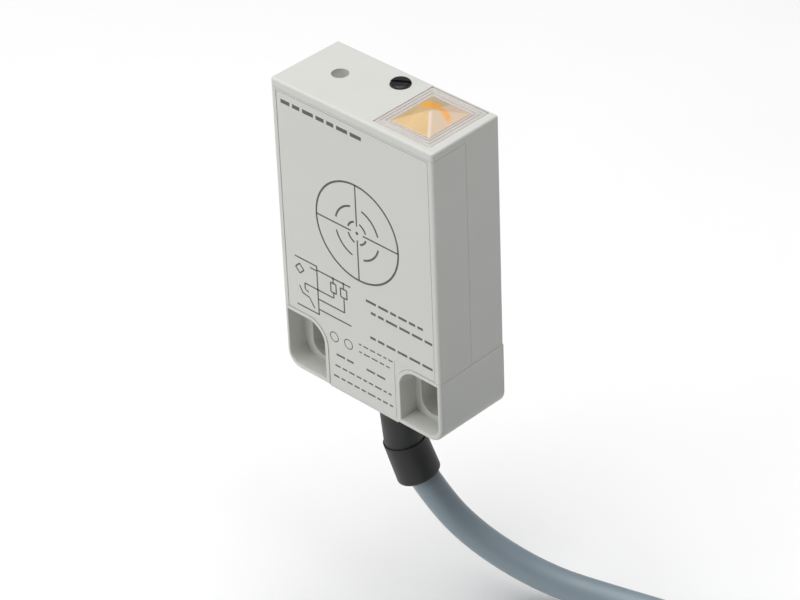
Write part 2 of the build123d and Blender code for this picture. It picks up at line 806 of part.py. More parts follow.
# --- the put-away length: a tied coil, its tail and the bare ends ---
turn_pitch = cable_diameter
columns = 3
full_layers = 3             # a fourth layer lies on the inner columns, and half of it on the outer one
outer_turn = 30.5
lead_in = 20.0              # straight lead into the lowest layer
lead_out = 10.0             # straight lead out of the top one
coil_start = route_points[-1]
coil_x = coil_start[0] + lead_in
coil_y = coil_start[1] - outer_turn
ring_outer = outer_turn + cable_radius
ring_inner = ring_outer - columns * turn_pitch
ring_step = ring_outer - turn_pitch
stack_height = full_layers * turn_pitch
top_turn_z = lying_z + stack_height
tail_start = (coil_x - lead_out, coil_y - outer_turn, top_turn_z)
tie_lift = floor_z + tie_sheet
tie_steps = [
    (ring_inner - tie_slack, tie_lift),
    (ring_outer + tie_slack, tie_lift),
    (ring_outer + tie_slack, tie_lift + stack_height + tie_slack),
    (ring_step + tie_slack, tie_lift + stack_height + turn_pitch + tie_slack),
    (ring_inner - tie_slack, tie_lift + stack_height + turn_pitch + tie_slack),
]
tie_plane = Plane(origin=(coil_x, coil_y - tie_width / 2, 0), x_dir=(-1, 0, 0), z_dir=(0, 1, 0))
with BuildPart() as coil_tie:
    with BuildSketch(tie_plane):
        with BuildLine():
            Polyline(*tie_steps, close=True)
        make_face()
        offset(amount=tie_sheet)
        with BuildLine(mode=Mode.PRIVATE) as inside:
            Polyline(*tie_steps, close=True)
        add(make_face(inside.edges(), mode=Mode.PRIVATE), mode=Mode.SUBTRACT)
    extrude(amount=tie_width)
save(coil_tie, "coil_tie")

with BuildPart() as cable_coil:
    with BuildSketch(Plane.XY.offset(floor_z)):
        with Locations((coil_x, coil_y)):
            Circle(ring_outer)
        with Locations((coil_x - lead_in / 2, coil_start[1])):
            Rectangle(lead_in, cable_diameter)
        with Locations((coil_x, coil_y)):
            Circle(ring_inner, mode=Mode.SUBTRACT)
    extrude(amount=turn_pitch)
    with BuildSketch(Plane.XY.offset(floor_z + turn_pitch)):
        with Locations((coil_x, coil_y)):
            Circle(ring_outer)
            Circle(ring_inner, mode=Mode.SUBTRACT)
    extrude(amount=stack_height - turn_pitch)
    with BuildSketch(Plane.XY.offset(floor_z + stack_height)):
        with Locations((coil_x, coil_y)):
            Circle(ring_outer)
        with Locations((coil_x + ring_outer / 2, coil_y)):
            Rectangle(ring_outer, 2 * ring_outer, mode=Mode.INTERSECT)
        with Locations((coil_x, coil_y)):
            Circle(ring_step)
        with Locations((coil_x - lead_out / 2, tail_start[1])):
            Rectangle(lead_out, cable_diameter)
        with Locations((coil_x, coil_y)):
            Circle(ring_inner, mode=Mode.SUBTRACT)
    extrude(amount=turn_pitch)
    add(coil_tie.part, mode=Mode.SUBTRACT)
save(cable_coil, "cable_coil")

tail_points = [
    tail_start,
    (tail_start[0] - 10.0, tail_start[1], top_turn_z),
    (tail_start[0] - 26.0, tail_start[1], top_turn_z - 6.6),
    (tail_start[0] - 42.0, tail_start[1], lying_z),
    (tail_start[0] - 54.0, tail_start[1], lying_z),
]
tail_solid = cable_tube(tail_points, cable_diameter)
with BuildPart() as cable_tail:
    add(tail_solid)
save(cable_tail, "cable_tail")

tail_end = tail_points[-1]
wire_floor = floor_z + wire_diameter / 2
tail_straight = 3.0
tail_landing = 12.0
fan_share = 0.6             # share of the fan reached where the cores land
tail_bend = 1.5
fans = [(-2.0, -26.0), (2.5, -27.0), (7.5, -27.0), (12.0, -25.5)]
tips = []
for colour, (off_y, off_z), (fan_y, reach) in zip(colours, corners, fans):
    start = (tail_end[0], tail_end[1] + off_y, lying_z + off_z)
    straight = (tail_end[0] - tail_straight, tail_end[1] + off_y, lying_z + off_z)
    landed = (tail_end[0] - tail_landing, tail_end[1] + fan_y * fan_share, wire_floor)
    end = (tail_end[0] + reach, tail_end[1] + fan_y, wire_floor)
    bare = wire([start, straight, landed, end], wire_diameter, tail_bend)
    with BuildPart() as lead:
        add(bare)
    save(lead, f"tail_wire_{colour}")
    along = Vector(*end) - Vector(*landed)
    tip = Plane(origin=end, z_dir=along) * Cylinder(
        tip_diameter / 2, tip_length, align=(Align.CENTER, Align.CENTER, Align.MIN)
    )
    tips.append(tip)
with BuildPart() as wire_tips:
    add(tips)
save(wire_tips, "wire_tips")
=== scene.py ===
import json
import math
import random

import bmesh
import bpy
from mathutils import Euler, Matrix, Vector


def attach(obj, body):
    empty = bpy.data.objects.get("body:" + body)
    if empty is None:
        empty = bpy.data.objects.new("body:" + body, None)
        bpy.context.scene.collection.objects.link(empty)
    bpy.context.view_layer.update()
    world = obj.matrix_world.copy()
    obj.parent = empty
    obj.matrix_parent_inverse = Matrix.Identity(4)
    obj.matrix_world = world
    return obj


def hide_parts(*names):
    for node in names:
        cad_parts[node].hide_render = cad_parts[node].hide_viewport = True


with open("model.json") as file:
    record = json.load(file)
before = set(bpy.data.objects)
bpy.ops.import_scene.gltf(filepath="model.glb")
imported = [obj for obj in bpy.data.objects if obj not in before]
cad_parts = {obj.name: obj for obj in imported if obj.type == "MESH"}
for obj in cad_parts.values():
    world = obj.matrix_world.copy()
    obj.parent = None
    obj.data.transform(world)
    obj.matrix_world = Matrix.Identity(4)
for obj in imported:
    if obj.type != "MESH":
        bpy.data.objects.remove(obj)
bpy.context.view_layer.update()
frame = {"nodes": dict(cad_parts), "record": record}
nodes = frame["nodes"]


mm = 0.001


# a Principled material with its fixed numbers on the shader's own sockets
def newMaterial(name, colour, rough, metal=0.0, **sockets):
    mat = bpy.data.materials.new(name)
    mat.use_nodes = True
    shader = mat.node_tree.nodes["Principled BSDF"]
    shader.inputs["Base Color"].default_value = (*colour, 1)
    shader.inputs["Roughness"].default_value = rough
    shader.inputs["Metallic"].default_value = metal
    for socket, value in sockets.items():
        shader.inputs[socket.replace("_", " ")].default_value = value
    return mat, mat.node_tree, shader


def link(tree, out, into):
    tree.links.new(out, into)


def noiseOn(tree, scale, detail=3.0, rough=0.5, stretch=None):
    coords = tree.nodes.new("ShaderNodeTexCoord")
    noise = tree.nodes.new("ShaderNodeTexNoise")
    noise.inputs["Scale"].default_value = scale
    noise.inputs["Detail"].default_value = detail
    noise.inputs["Roughness"].default_value = rough
    if stretch:
        mapping = tree.nodes.new("ShaderNodeMapping")
        mapping.inputs["Scale"].default_value = stretch
        link(tree, coords.outputs["Object"], mapping.inputs["Vector"])
        link(tree, mapping.outputs["Vector"], noise.inputs["Vector"])
    else:
        link(tree, coords.outputs["Object"], noise.inputs["Vector"])
    return noise.outputs["Fac"]


def ramp(tree, fac, stops):
    node = tree.nodes.new("ShaderNodeValToRGB")
    band = node.color_ramp
    while len(band.elements) < len(stops):
        band.elements.new(0.5)
    for element, (place, colour) in zip(band.elements, stops):
        element.position = place
        element.color = (*colour, 1) if len(colour) == 3 else colour
    link(tree, fac, node.inputs["Fac"])
    return node.outputs["Color"]


def colourFrom(tree, shader, fac, stops):
    link(tree, ramp(tree, fac, stops), shader.inputs["Base Color"])


def span(tree, fac, low, high, fromLow=0.3, fromHigh=0.7):
    node = tree.nodes.new("ShaderNodeMapRange")
    for socket, value in zip(("From Min", "From Max", "To Min", "To Max"), (fromLow, fromHigh, low, high)):
        node.inputs[socket].default_value = value
    link(tree, fac, node.inputs["Value"])
    return node.outputs["Result"]


def bumpFrom(tree, shader, height, strength, distance):
    node = tree.nodes.new("ShaderNodeBump")
    node.inputs["Strength"].default_value = strength
    node.inputs["Distance"].default_value = distance
    link(tree, height, node.inputs["Height"])
    link(tree, node.outputs["Normal"], shader.inputs["Normal"])


def tinted(colour, share):
    return tuple(min(1.0, c * share) for c in colour)


# moulded plastic: faint cloudiness in colour, uneven gloss and a fine spark-eroded grain
def mouldedPlastic(name, colour, rough=0.45, spread=0.03, grain=9000, depth=0.006, **sockets):
    mat, tree, shader = newMaterial(name, colour, rough, **sockets)
    cloud = noiseOn(tree, 60, 4)
    stops = [(0.3, tinted(colour, 1 - spread)), (0.7, tinted(colour, 1 + spread))]
    colourFrom(tree, shader, cloud, stops)
    link(tree, span(tree, noiseOn(tree, 300, 2), rough - 0.05, rough + 0.05), shader.inputs["Roughness"])
    bumpFrom(tree, shader, noiseOn(tree, grain, 2), 0.35, depth * mm)
    return mat


def drawnMetal(name, colour, rough=0.3, stretch=(1, 1, 30)):
    mat, tree, shader = newMaterial(name, colour, rough, 1.0)
    lines = noiseOn(tree, 400, 3, stretch=stretch)
    colourFrom(tree, shader, lines, [(0.3, tinted(colour, 0.85)), (0.7, tinted(colour, 1.1))])
    link(tree, span(tree, lines, rough - 0.08, rough + 0.1), shader.inputs["Roughness"])
    bumpFrom(tree, shader, lines, 0.2, 0.004 * mm)
    return mat


# camera and light
view = {
    "place": (0.33211, -0.33542, 0.33394),
    "azimuth": 45.21,
    "elevation": 34.71,
    "roll": -2.376,
    "lens": 158.99,
}
cameraData = bpy.data.cameras.new("mainCamera")
cameraData.lens = view["lens"]
cameraData.sensor_width = 36
cameraData.clip_start = 0.01
camera = bpy.data.objects.new("mainCamera", cameraData)
turn = Euler((math.radians(90 - view["elevation"]), 0, math.radians(view["azimuth"]))).to_matrix().to_4x4()
roll = Matrix.Rotation(math.radians(view["roll"]), 4, "Z")
camera.matrix_world = Matrix.Translation(view["place"]) @ turn @ roll
bpy.context.scene.collection.objects.link(camera)
bpy.context.scene.camera = camera

stageSizes = {"floorZ": -0.0484, "half": 1.2, "paper": (0.95, 0.95, 0.95)}


def meshPiece(name, verts, faces, mat, smooth=False):
    mesh = bpy.data.meshes.new(name)
    mesh.from_pydata([tuple(v) for v in verts], [], faces)
    mesh.materials.append(mat)
    for face in mesh.polygons:
        face.use_smooth = smooth
    piece = bpy.data.objects.new(name, mesh)
    bpy.context.scene.collection.objects.link(piece)
    return piece


paper, paperTree, paperShader = newMaterial("studioPaper", stageSizes["paper"], 0.9)
paperStops = [(0.3, (0.945, 0.945, 0.945)), (0.7, (0.955, 0.955, 0.955))]
colourFrom(paperTree, paperShader, noiseOn(paperTree, 30, 2), paperStops)
half, floorZ = stageSizes["half"], stageSizes["floorZ"]
floorCorners = [(x, y, floorZ) for x, y in ((-half, -half), (half, -half), (half, half), (-half, half))]
floor = meshPiece("studioFloor", floorCorners, [(0, 1, 2, 3)], paper)

world = bpy.data.worlds.new("studio")
world.use_nodes = True
world.node_tree.nodes["Background"].inputs["Color"].default_value = (1, 1, 1, 1)
world.node_tree.nodes["Background"].inputs["Strength"].default_value = 0.12
bpy.context.scene.world = world
bpy.context.scene.view_settings.view_transform = "Standard"

# each lamp: place, what it points at, size, watts
lamps = {
    "topSoft": ((-0.05, -0.05, 0.8), (0, 0, 0), 0.9, 8.9),
    "frontSoft": ((-0.4, -0.85, 0.2), (0, 0, 0.02), 0.5, 2.7),
}
for lampName, (place, aim, size, watts) in lamps.items():
    lampData = bpy.data.lights.new(lampName, "AREA")
    lampData.energy = watts
    lampData.size = size
    lamp = bpy.data.objects.new(lampName, lampData)
    lamp.location = place
    lamp.rotation_euler = (Vector(aim) - Vector(place)).to_track_quat("-Z", "Y").to_euler()
    bpy.context.scene.collection.objects.link(lamp)
print("camera, floor and lamps set")

# cable: one line from the bush, over the floor, round the coil and out to its end
cable = {
    "diameter": 5.2,
    "lyingZ": -45.8,
    "exit": (2.9, -5.8, -23.9),
    "start": [
        (0, -7.5, 2.1), (0, -7.5, -8.4), (0.7, -7.1, -17.1), (3.8, -5.3, -25.2), (9.8, -1.85, -34.8),
        (20.8, 4.5, -43.0), (32.5, 10.9, -45.8), (44.0, 14.4, -45.8), (58.2, 14.4, -45.8),
        (69.5, 14.4, -45.8),
    ],
    "coilMiddle": (78.2, -16.1),
    "radii": [30.5, 25.3, 20.1, 20.1, 25.3, 30.5, 30.5, 25.3, 20.1, 20.1, 25.3],
    "layers": [0, 0, 0, 1, 1, 1, 2, 2, 2, 3, 3],
    "steps": 18,
    "crossing": 4.0,
    "tieLift": 1.3,
    "tieSpread": 18.0,
    "end": [
        (69.5, -46.6, -30.2), (58.2, -46.6, -30.2), (42.2, -46.6, -36.8), (26.2, -46.6, -45.8),
        (14.2, -46.6, -45.8),
    ],
}


# smooth step from 0 to 1
def ease(t):
    t = min(1.0, max(0.0, t))
    return t * t * (3 - 2 * t)


# a point on the coil: turned is how far the cable has gone round, clockwise from the far side
def coilPoint(turned, radius, height):
    swing = (turned % 360) - 270
    lift = cable["tieLift"] * math.exp(-((swing / cable["tieSpread"]) ** 2))
    reach = radius / math.cos(math.pi / cable["steps"])
    x, y = cable["coilMiddle"]
    angle = math.radians(90 - turned)
    return (x + reach * math.cos(angle), y + reach * math.sin(angle), height + lift)


# turns lie a diameter apart and cross to the next place over the last few points of each
def coilPoints():
    radii = cable["radii"] + [cable["radii"][0]]
    layers = cable["layers"] + [cable["layers"][-1]]
    steps, crossing = cable["steps"], cable["crossing"]
    points = []
    for k in range(len(cable["radii"])):
        for i in range(steps):
            move = ease((i - (steps - crossing)) / crossing)
            radius = radii[k] + (radii[k + 1] - radii[k]) * move
            layer = layers[k] + (layers[k + 1] - layers[k]) * move
            points.append(coilPoint(360 * i / steps, radius, cable["lyingZ"] + layer * cable["diameter"]))
    topZ = cable["lyingZ"] + 3 * cable["diameter"]
    points += [coilPoint(360 * i / steps, radii[-1], topZ) for i in range(steps // 2 + 1)]
    return points


def cordCurve(name, points, diameter, mat, sides=4, smoothness=6):
    curve = bpy.data.curves.new(name, "CURVE")
    curve.dimensions = "3D"
    curve.bevel_depth = diameter / 2 * mm
    curve.bevel_resolution = sides
    curve.resolution_u = smoothness
    curve.use_fill_caps = True
    spline = curve.splines.new("NURBS")
    spline.points.add(len(points) - 1)
    for point, (x, y, z) in zip(spline.points, points):
        point.co = (x * mm, y * mm, z * mm, 1)
    spline.order_u = 3
    spline.use_endpoint_u = True
    curve.materials.append(mat)
    piece = bpy.data.objects.new(name, curve)
    bpy.context.scene.collection.objects.link(piece)
    return piece


sheathGrey = mouldedPlastic("cableSheath", (0.252, 0.310, 0.352), 0.42, 0.05, 2500, 0.02)
route = cable["start"] + coilPoints() + cable["end"]
sheath = cordCurve("cableSheathRun", route, cable["diameter"], sheathGrey, 5)
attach(sheath, "housing")
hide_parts("cable", "cable_coil", "cable_tail")

# each finish is one material, and every CAD node takes the finish of its slot
finish = {
    "housing": mouldedPlastic("housingGrey", (0.60, 0.606, 0.572), 0.46, 0.012, 7000, 0.010),
    "light_box": mouldedPlastic("lightBoxWhite", (0.80, 0.76, 0.72), 0.4, 0.02, 6000, 0.006),
    "seal": mouldedPlastic("sealRubber", (0.02, 0.02, 0.02), 0.6, 0.1, 5000, 0.01),
    "trimmer_case": mouldedPlastic("trimmerBlue", (0.03, 0.10, 0.34), 0.35, 0.03, 8000, 0.005),
    "carriage": mouldedPlastic("carriageAmber", (0.62, 0.55, 0.42), 0.4, 0.03, 8000, 0.005),
    "chip_black": mouldedPlastic("chipEpoxy", (0.022, 0.022, 0.024), 0.5, 0.12, 12000, 0.006),
    "chip_ceramic": mouldedPlastic("ceramicTan", (0.42, 0.30, 0.17), 0.42, 0.05, 9000, 0.004),
    "clamp": mouldedPlastic("clampNylon", (0.70, 0.68, 0.62), 0.42, 0.03, 5000, 0.008),
    "tie": mouldedPlastic("tieNylon", (0.035, 0.035, 0.037), 0.38, 0.08, 4000, 0.01),
    "spindle": mouldedPlastic("spindleBlack", (0.016, 0.016, 0.017), 0.34, 0.1, 5000, 0.008),
    "boot": mouldedPlastic("bootRubber", (0.020, 0.020, 0.019), 0.52, 0.10, 3200, 0.02),
    "cable_sheath": sheathGrey,
    "screw_brass": drawnMetal("turnedBrass", (0.78, 0.57, 0.25), 0.26),
    "copper": drawnMetal("copperSkin", (0.86, 0.42, 0.25), 0.28),
    "tinned": drawnMetal("tinnedLead", (0.74, 0.74, 0.72), 0.30),
}
coreShades = {
    "brown": (0.22, 0.10, 0.05),
    "white": (0.82, 0.82, 0.79),
    "black": (0.03, 0.03, 0.03),
    "blue": (0.04, 0.15, 0.48),
}
for colour, shade in coreShades.items():
    finish["core_" + colour] = mouldedPlastic("core_" + colour, shade, 0.38, 0.04, 4000, 0.008)


# glass-epoxy board: green mask over faint copper tracks, which follow a brick grid
def boardFinish():
    mat, tree, shader = newMaterial("boardGreen", (0.02, 0.14, 0.06), 0.32)
    coords = tree.nodes.new("ShaderNodeTexCoord")
    turned = tree.nodes.new("ShaderNodeMapping")
    turned.inputs["Rotation"].default_value = (math.radians(90), 0, 0)
    bricks = tree.nodes.new("ShaderNodeTexBrick")
    bricks.inputs["Scale"].default_value = 420
    bricks.inputs["Mortar Size"].default_value = 0.06
    bricks.inputs["Color1"].default_value = (0.018, 0.13, 0.055, 1)
    bricks.inputs["Color2"].default_value = (0.022, 0.15, 0.06, 1)
    bricks.inputs["Mortar"].default_value = (0.06, 0.25, 0.10, 1)
    link(tree, coords.outputs["Object"], turned.inputs["Vector"])
    link(tree, turned.outputs["Vector"], bricks.inputs["Vector"])
    link(tree, bricks.outputs["Color"], shader.inputs["Base Color"])
    bumpFrom(tree, shader, bricks.outputs["Fac"], 0.3, 0.02 * mm)
    return mat


# wound resistive element: fine wire across a dark core
def elementFinish():
    mat, tree, shader = newMaterial("elementWire", (0.10, 0.09, 0.08), 0.45, 0.6)
    lines = noiseOn(tree, 900, 1, stretch=(0.1, 0.1, 12))
    colourFrom(tree, shader, lines, [(0.35, (0.05, 0.045, 0.04)), (0.65, (0.30, 0.26, 0.22))])
    bumpFrom(tree, shader, lines, 0.4, 0.02 * mm)
    return mat


# lamp body: white reflector with a milky amber pool in its cup
def lampFinish():
    mat, tree, shader = newMaterial("lampBody", (0.85, 0.83, 0.78), 0.35)
    cloud = noiseOn(tree, 700, 2)
    colourFrom(tree, shader, cloud, [(0.35, (0.86, 0.80, 0.66)), (0.65, (0.95, 0.66, 0.25))])
    bumpFrom(tree, shader, cloud, 0.2, 0.01 * mm)
    return mat


def capacitorFinish():
    mat, tree, shader = newMaterial("tantalumYellow", (0.75, 0.46, 0.08), 0.38)
    cloud = noiseOn(tree, 300, 3)
    colourFrom(tree, shader, cloud, [(0.35, (0.70, 0.42, 0.07)), (0.65, (0.82, 0.52, 0.10))])
    bumpFrom(tree, shader, noiseOn(tree, 6000, 2), 0.3, 0.005 * mm)
    return mat


# clear moulded window: faint flow marks and a slightly uneven gloss
def clearFinish():
    clear = {"Transmission_Weight": 0.30, "IOR": 1.49, "Coat_Weight": 0.25, "Coat_Roughness": 0.05}
    mat, tree, shader = newMaterial("clearWindow", (0.80, 0.76, 0.71), 0.14, **clear)
    flow = noiseOn(tree, 220, 3)
    colourFrom(tree, shader, flow, [(0.3, (0.76, 0.71, 0.67)), (0.7, (0.83, 0.78, 0.74))])
    link(tree, span(tree, flow, 0.08, 0.18), shader.inputs["Roughness"])
    bumpFrom(tree, shader, flow, 0.08, 0.005 * mm)
    return mat


finish["board"] = boardFinish()
finish["element"] = elementFinish()
finish["lamp"] = lampFinish()
finish["capacitor"] = capacitorFinish()
finish["window"] = clearFinish()
for part in frame["record"]["subparts"]:
    for holder in nodes[part["node"]].material_slots:
        holder.material = finish[part["material_slot"]]
print("finishes given to the CAD nodes")


def joined(name, bm, mat, smooth=False):
    bmesh.ops.recalc_face_normals(bm, faces=bm.faces)
    mesh = bpy.data.meshes.new(name)
    bm.to_mesh(mesh)
    bm.free()
    mesh.materials.append(mat)
    for face in mesh.polygons:
        face.use_smooth = smooth
    piece = bpy.data.objects.new(name, mesh)
    bpy.context.scene.collection.objects.link(piece)
    return piece


# a rectangle with rounded corners, as a ring of points at height z
def roundedLoop(middle, halfX, halfY, corner, z, steps=5):
    points = []
    for quarter, (sx, sy) in enumerate(((1, 1), (-1, 1), (-1, -1), (1, -1))):
        for i in range(steps + 1):
            angle = math.radians(90 * quarter + 90 * i / steps)
            x = middle[0] + sx * (halfX - corner) + corner * math.cos(angle)
            y = middle[1] + sy * (halfY - corner) + corner * math.sin(angle)
            points.append((x * mm, y * mm, z * mm))
    return points


# skin over a row of rings, open or closed round on itself
def skinned(bm, loops, closed=False):
    rings = [[bm.verts.new(p) for p in loop] for loop in loops]
    pairs = list(zip(rings, rings[1:] + rings[:1])) if closed else list(zip(rings, rings[1:]))
    for lower, upper in pairs:
        for i in range(len(lower)):
            j = (i + 1) % len(lower)
            bm.faces.new((lower[i], lower[j], upper[j], upper[i]))
    if not closed:
        bm.faces.new(list(reversed(rings[0])))
        bm.faces.new(rings[-1])


# the clear window: a flush frame with two fine grooves round a four-sided lens
window = {
    "middle": (9.8, -7.15),
    "halfX": 5.95,
    "halfY": 6.6,
    "corner": 0.35,
    "bottom": 47.72,
    "top": 49.1,
    "bevel": 0.12,
    "grooves": [(0.62, 0.22, 0.10), (1.28, 0.22, 0.12)],  # how far in, how wide, how deep
    "flank": 0.05,
    "lensHalfX": 4.0,
    "lensHalfY": 4.65,
    "lensTop": 50.3,
    "tip": 0.2,
    "gap": 0.02,
}


def windowFrame():
    w = window
    cross = [(0, w["bottom"]), (0, w["top"] - w["bevel"]), (w["bevel"], w["top"])]
    for inset, width, depth in w["grooves"]:
        grooveZ = w["top"] - depth
        cross += [(inset, w["top"]), (inset + w["flank"], grooveZ)]
        cross += [(inset + width - w["flank"], grooveZ), (inset + width, w["top"])]
    inner = w["halfX"] - w["lensHalfX"]
    cross += [(inner - 0.1, w["top"]), (inner, w["top"] - 0.1), (inner, w["bottom"])]
    bm = bmesh.new()
    loops = []
    for inset, z in cross:
        corner = max(0.08, w["corner"] - inset * 0.15)
        loops.append(roundedLoop(w["middle"], w["halfX"] - inset, w["halfY"] - inset, corner, z))
    skinned(bm, loops, closed=True)
    return joined("windowFrame", bm, finish["window"])


# amber lens: warm tan faces with painted light on them: a painted orange glow patch and streak spreading
# from under the tip, a painted highlight along the front ridge, a lighter painted right face and painted
# shade on the back face
paintedLensLight = {
    "patchY": 5.4,       # the painted glow patch lies this far in front of the back face
    "bowFrom": 9.6,      # x where the painted glow streak starts to bow, and how much it bows
    "bow": 95.0,
    # painted glow colours: the orange patch and the orange streak
    "paintedGlowTone": (0.98, 0.44, 0.05),
    "paintedStreakGlowTone": (0.98, 0.42, 0.08),
    "paintedStreakGlowShare": 0.85,
    # painted highlight along the ridge
    "paintedRidgeHighlightTone": (0.84, 0.70, 0.60),
    "paintedRidgeHighlightShare": 0.8,
    # painted light: the right face made lighter
    "paintedRightFaceLightTone": (0.74, 0.58, 0.42),
    # painted shade: the back face made darker
    "paintedBackShadeTone": (0.52, 0.44, 0.34),
    "paintedBackShadeShare": 0.55,
}


def lensAmberWithPaintedLight():
    amber = {"Transmission_Weight": 0.12, "IOR": 1.49, "Coat_Weight": 0.4, "Coat_Roughness": 0.08}
    mat, tree, shader = newMaterial("lensAmberPaintedLight", (0.74, 0.50, 0.24), 0.24, **amber)
    coords = tree.nodes.new("ShaderNodeTexCoord")
    parts = tree.nodes.new("ShaderNodeSeparateXYZ")
    link(tree, coords.outputs["Object"], parts.inputs["Vector"])

    def smoothBand(value, fromLow, fromHigh):
        node = tree.nodes.new("ShaderNodeMapRange")
        node.interpolation_type = "SMOOTHSTEP"
        node.inputs["From Min"].default_value = fromLow * mm
        node.inputs["From Max"].default_value = fromHigh * mm
        link(tree, value, node.inputs["Value"])
        return node.outputs["Result"]

    def maths(kind, a, b):
        node = tree.nodes.new("ShaderNodeMath")
        node.operation = kind
        for socket, value in zip(node.inputs, (a, b)):
            if isinstance(value, (int, float)):
                socket.default_value = value
            else:
                link(tree, value, socket)
        return node.outputs["Value"]

    def mixed(fac, under, over):
        node = tree.nodes.new("ShaderNodeMix")
        node.data_type = "RGBA"
        link(tree, fac, node.inputs["Factor"])
        link(tree, under, node.inputs[6])
        if isinstance(over, tuple):
            node.inputs[7].default_value = (*over, 1)
        else:
            link(tree, over, node.inputs[7])
        return node.outputs[2]

    x, y, z = (parts.outputs[k] for k in ("X", "Y", "Z"))
    # mask of the painted orange glow patch on the left face, where light comes through from under the tip
    yOff = maths("ABSOLUTE", maths("SUBTRACT", y, -paintedLensLight["patchY"] * mm), 0)
    paintedGlowPatch = maths("MULTIPLY", smoothBand(yOff, 1.25, 0.6), smoothBand(x, 5.8, 6.9))
    paintedGlowPatch = maths("MULTIPLY", paintedGlowPatch, smoothBand(x, 10.0, 9.7))
    # mask of the painted orange glow streak, bowing across the right face
    across = maths("SUBTRACT", x, paintedLensLight["bowFrom"] * mm)
    bow = maths("MULTIPLY", maths("MULTIPLY", across, across), paintedLensLight["bow"])
    streakOff = maths("ABSOLUTE", maths("ADD", maths("ADD", y, bow), paintedLensLight["patchY"] * mm), 0)
    paintedGlowStreak = maths("MULTIPLY", smoothBand(streakOff, 0.85, 0.25), smoothBand(x, 9.6, 10.0))
    paintedGlowStreak = maths("MULTIPLY", paintedGlowStreak, smoothBand(x, 13.7, 12.3))
    # mask of the painted highlight along the ridge from the tip towards the front right corner
    slope = window["lensHalfY"] / window["lensHalfX"]
    fromTip = maths("SUBTRACT", x, window["middle"][0] * mm)
    ridgeOff = maths("ADD", maths("ADD", y, maths("MULTIPLY", fromTip, slope)), -window["middle"][1] * mm)
    paintedRidgeHighlight = smoothBand(maths("ABSOLUTE", ridgeOff, 0), 0.55, 0.25)
    paintedRidgeHighlight = maths("MULTIPLY", paintedRidgeHighlight, smoothBand(x, 9.7, 10.1))
    facetStops = [(0.3, (0.66, 0.46, 0.23)), (0.7, (0.80, 0.57, 0.29))]
    facets = ramp(tree, noiseOn(tree, 260, 3, stretch=(1, 0.4, 1)), facetStops)
    # mask of the painted shade on the back face
    back = smoothBand(y, -6.4, -4.0)
    tone = mixed(maths("MULTIPLY", back, paintedLensLight["paintedBackShadeShare"]), facets, paintedLensLight["paintedBackShadeTone"])
    # mask of the painted light on the right face beside the ridge
    paintedRightFaceLight = maths("MULTIPLY", smoothBand(ridgeOff, -0.1, 0.2), smoothBand(x, 9.6, 9.9))
    tone = mixed(paintedRightFaceLight, tone, paintedLensLight["paintedRightFaceLightTone"])
    tone = mixed(maths("MULTIPLY", paintedRidgeHighlight, paintedLensLight["paintedRidgeHighlightShare"]), tone, paintedLensLight["paintedRidgeHighlightTone"])
    tone = mixed(paintedGlowPatch, tone, paintedLensLight["paintedGlowTone"])
    tone = mixed(maths("MULTIPLY", paintedGlowStreak, paintedLensLight["paintedStreakGlowShare"]), tone, paintedLensLight["paintedStreakGlowTone"])
    link(tree, tone, shader.inputs["Base Color"])
    bumpFrom(tree, shader, noiseOn(tree, 1200, 2), 0.12, 0.01 * mm)
    return mat


def windowLens():
    w = window
    g = w["gap"]
    middle = w["middle"]
    loops = [
        roundedLoop(middle, w["lensHalfX"] - g, w["lensHalfY"] - g, 0.08, w["bottom"] + 0.2, 2),
        roundedLoop(middle, w["lensHalfX"] - g, w["lensHalfY"] - g, 0.08, w["top"] - 0.02, 2),
        roundedLoop(middle, w["lensHalfX"] - 0.12, w["lensHalfY"] - 0.12, 0.05, w["top"] + 0.03, 2),
        roundedLoop(middle, w["tip"] + 0.06, w["tip"] + 0.06, 0.02, w["lensTop"] - 0.02, 2),
        roundedLoop(middle, w["tip"] - 0.05, w["tip"] - 0.05, 0.02, w["lensTop"], 2),
    ]
    bm = bmesh.new()
    skinned(bm, loops)
    return joined("windowLens", bm, lensAmberWithPaintedLight())


for piece in (windowFrame(), windowLens()):
    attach(piece, "housing")
    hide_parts("led_window")
print("window made")

# the front film: a thin satin sheet in the shallow recess, cut away round the two pockets
film = {
    "halfX": 16.25,
    "top": 47.2,
    "shoulder": 6.35,
    "footHalfX": 7.35,
    "bottom": -5.35,
    "corner": 0.5,
    "back": -14.885,
    "front": -14.94,
}


# outline with each corner rounded by a short arc
def softOutline(corners, radius, steps=5):
    outline = []
    for k, here in enumerate(corners):
        before, after = Vector(corners[k - 1]), Vector(corners[(k + 1) % len(corners)])
        here = Vector(here)
        a = here + (before - here).normalized() * radius
        b = here + (after - here).normalized() * radius
        for i in range(steps + 1):
            t = i / steps
            outline.append(a * (1 - t) ** 2 + here * 2 * t * (1 - t) + b * t * t)
    return outline


# a flat plate facing forward, from its outline in x and z
def frontPlate(bm, outline, back, front):
    rear = [bm.verts.new((x * mm, back * mm, z * mm)) for x, z in outline]
    fore = [bm.verts.new((x * mm, front * mm, z * mm)) for x, z in outline]
    bm.faces.new(rear)
    bm.faces.new(list(reversed(fore)))
    for i in range(len(rear)):
        j = (i + 1) % len(rear)
        bm.faces.new((rear[j], rear[i], fore[i], fore[j]))


